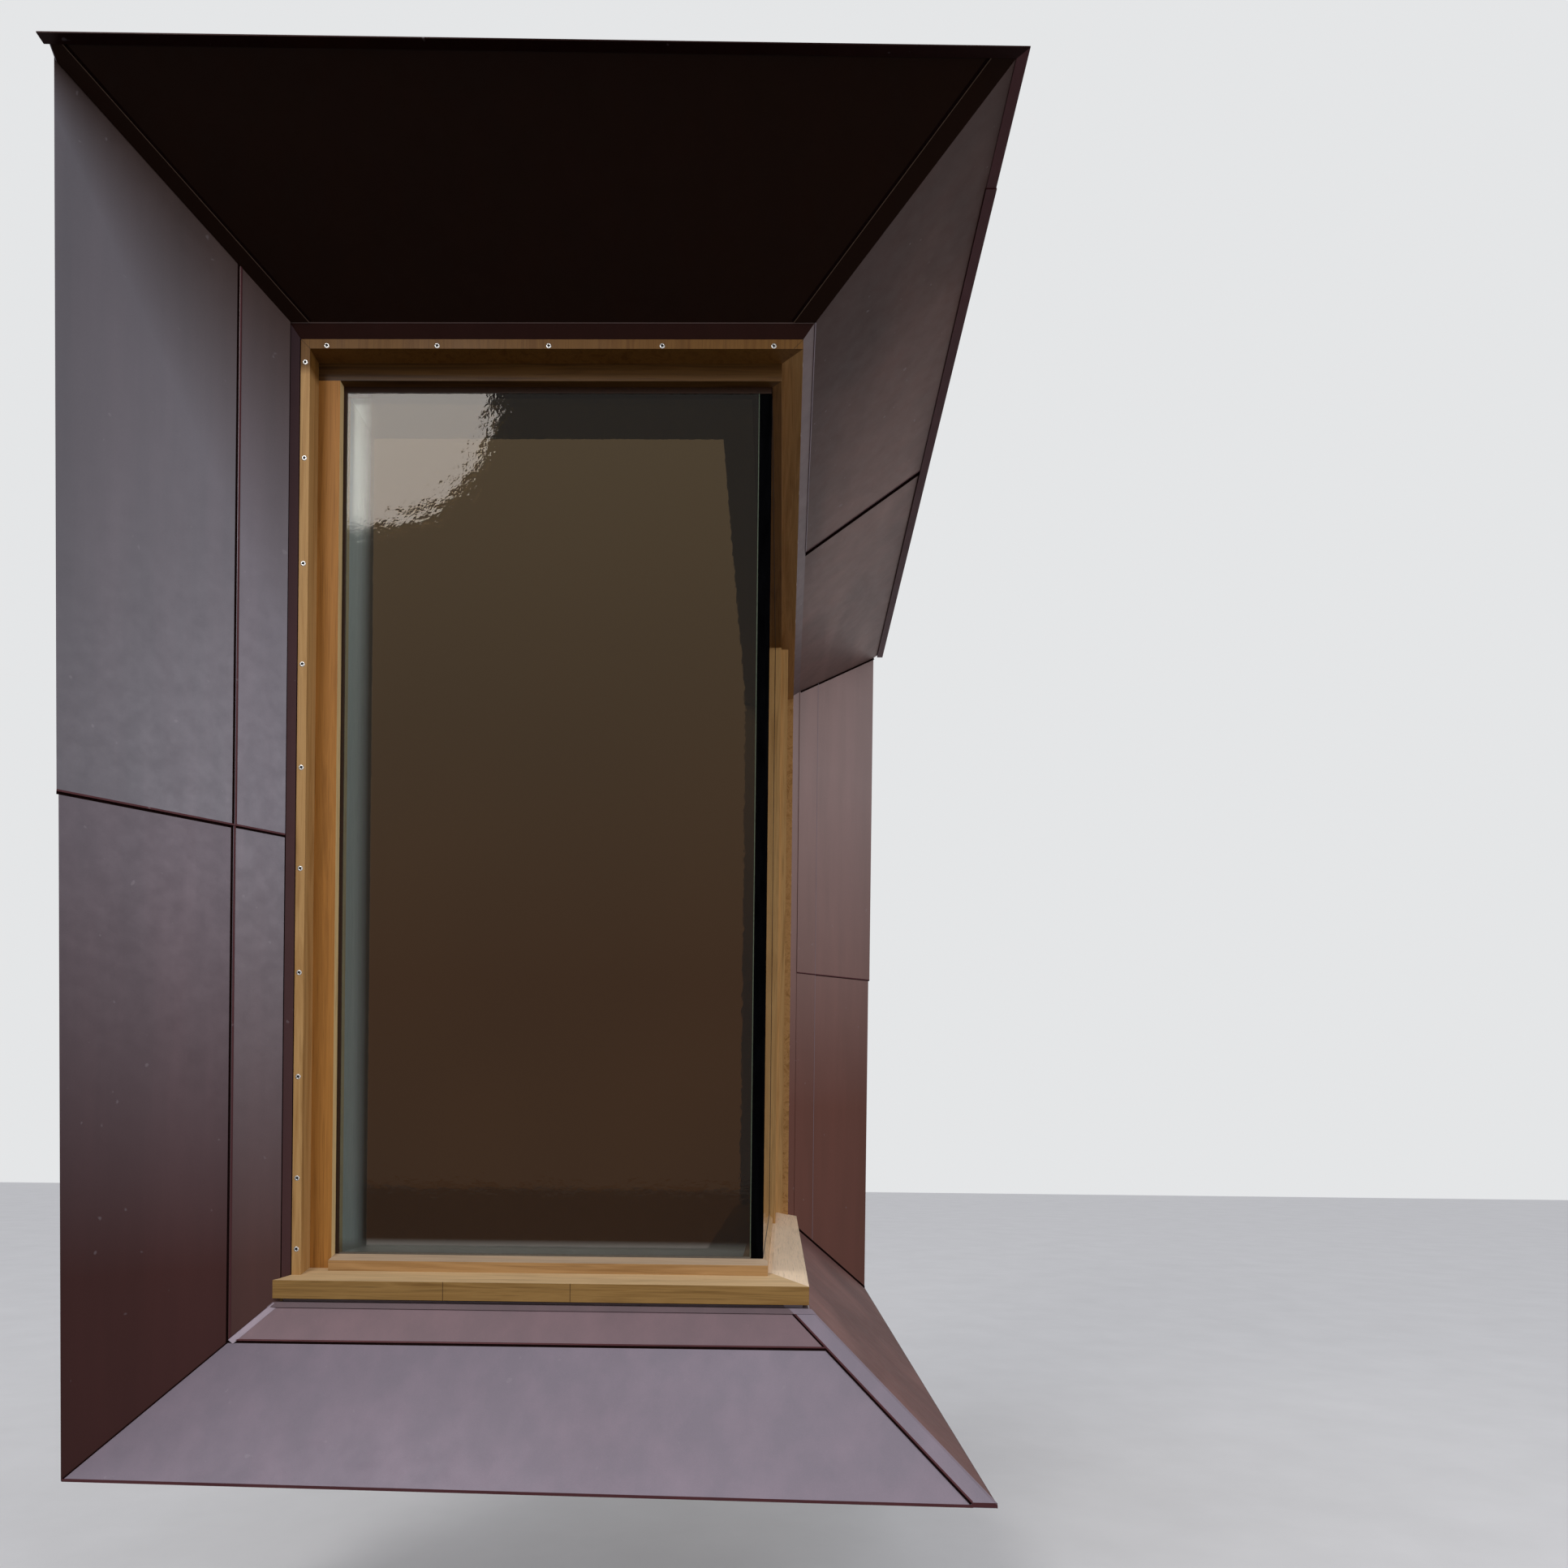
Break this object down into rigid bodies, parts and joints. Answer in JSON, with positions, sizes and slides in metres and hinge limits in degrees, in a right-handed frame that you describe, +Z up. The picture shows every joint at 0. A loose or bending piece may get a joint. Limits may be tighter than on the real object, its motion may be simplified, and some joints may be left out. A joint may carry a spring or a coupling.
{
  "type": "corner bay window with a splayed zinc surround",
  "caption": "Corner window in oak with a frameless glass corner, set in a flared surround of folded zinc sheets that wraps a house corner.",
  "frame": {"origin": "on the rear face of the front apron's backing, midway between the oak frame's left edge and the house corner", "axes": "+Z up, -Y out of the front wall, +X along the front wall towards the house corner and out of the side wall"},
  "size_m": [1.9046, 2.6319, 2.8672],
  "materials": {
    "zinc": "pre-weathered plum-brown zinc sheet, satin",
    "backing_timber": "sheathed softwood framing",
    "oak": "oiled oak",
    "oak_sill": "oiled oak, bleached by weather",
    "glass": "clear double glazing",
    "black_silicone": "black structural silicone",
    "white_paint": "white painted board"
  },
  "bodies": {
    "root": {"hood_soffit_front": "zinc", "hood_soffit_side_near": "zinc", "hood_soffit_side_far": "zinc", "hood_corner_flashing": "zinc", "hood_left_flashing": "zinc", "hood_rim_front": "zinc", "hood_rim_side_near": "zinc", "hood_rim_side_far": "zinc", "hood_roof_front": "zinc", "hood_roof_side": "zinc", "head_flashing_front": "zinc", "head_flashing_side": "zinc", "left_jamb_outer_upper": "zinc", "left_jamb_outer_lower": "zinc", "left_jamb_inner_upper": "zinc", "left_jamb_inner_lower": "zinc", "left_jamb_flashing": "zinc", "left_cheek": "zinc", "far_jamb_outer_upper": "zinc", "far_jamb_outer_lower": "zinc", "far_jamb_inner_upper": "zinc", "far_jamb_inner_lower": "zinc", "far_jamb_flashing": "zinc", "far_cheek": "zinc", "sill_tray_front": "zinc", "sill_tray_side": "zinc", "apron_band_front": "zinc", "apron_sheet_front": "zinc", "apron_corner_flashing": "zinc", "apron_sheet_side": "zinc", "apron_underside_front": "zinc", "apron_underside_side": "zinc", "hood_backing_front": "backing_timber", "hood_backing_side": "backing_timber", "left_jamb_backing": "backing_timber", "far_jamb_backing": "backing_timber", "apron_backing_front": "backing_timber", "apron_backing_side": "backing_timber", "oak_head_front": "oak", "oak_head_side": "oak", "oak_jamb_left": "oak", "oak_jamb_far": "oak", "oak_sill_front": "oak_sill", "oak_sill_side": "oak_sill", "oak_rail_front": "oak_sill", "oak_rail_side": "oak_sill", "cover_strips_front": "oak", "cover_strips_side": "oak", "side_mullion": "oak", "casement_sash": "oak", "glass_front": "glass", "glass_side": "glass", "glass_casement": "glass", "glass_corner_joint": "black_silicone", "lining_front": "white_paint", "lining_side": "white_paint", "window_board_front": "white_paint", "window_board_side": "white_paint"}
  },
  "joints": []
}
